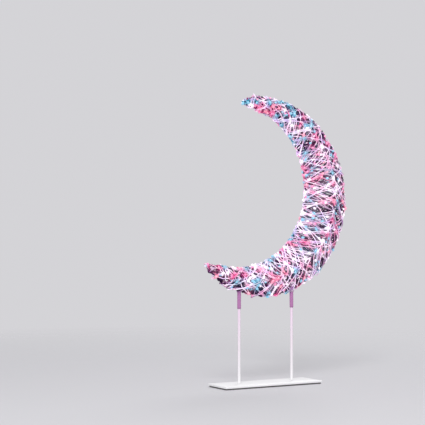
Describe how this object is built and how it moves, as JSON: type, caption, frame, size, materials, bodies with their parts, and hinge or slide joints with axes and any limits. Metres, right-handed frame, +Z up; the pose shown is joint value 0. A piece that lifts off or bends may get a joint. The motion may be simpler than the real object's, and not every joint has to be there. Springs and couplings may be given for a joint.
{
  "type": "lighted crescent moon tabletop decoration",
  "caption": "Crescent moon cage of white wire wound with coloured micro lights, lifted off two slim posts on a flat white base plate.",
  "frame": {"origin": "centre of the flat underside of the base pad, on the table", "axes": "+Z up, +Y away from the viewer, +X to the viewer's right, where the crescent bulges"},
  "size_m": [0.2636, 0.0601, 0.4502],
  "materials": {
    "plate_paint": "fine white powder coat",
    "pad_foam": "dark closed-cell foam",
    "post_paint": "fine white powder coat",
    "screw_steel": "zinc plated steel",
    "socket_paint": "fine white powder coat",
    "cage_paint": "fine white powder coat on wire",
    "light_string": "varnished micro wire with clear resin lights lit pink, coral, blue and white",
    "joint_plastic": "moulded white plastic",
    "tie_nylon": "natural nylon"
  },
  "bodies": {
    "stand": {"base_plate": "plate_paint", "base_pad": "pad_foam", "left_post": "post_paint", "right_post": "post_paint", "left_post_screw": "screw_steel", "right_post_screw": "screw_steel"},
    "moon": {"left_socket": "socket_paint", "right_socket": "socket_paint", "outer_rim": "cage_paint", "inner_rim": "cage_paint", "front_ridge": "cage_paint", "back_ridge": "cage_paint", "rib_1": "cage_paint", "rib_2": "cage_paint", "rib_3": "cage_paint", "rib_4": "cage_paint", "rib_5": "cage_paint", "rib_6": "cage_paint", "rib_7": "cage_paint", "rib_8": "cage_paint", "lower_tip": "cage_paint", "upper_tip": "cage_paint", "light_string_1": "light_string", "light_string_2": "light_string", "lead_joint": "joint_plastic", "lead_joint_tie": "tie_nylon"}
  },
  "joints": [
    {"name": "moon_lift", "type": "slide", "parent": "stand", "child": "moon", "axis": [0, 0, 1], "range_m": [0, 0.03]}
  ]
}
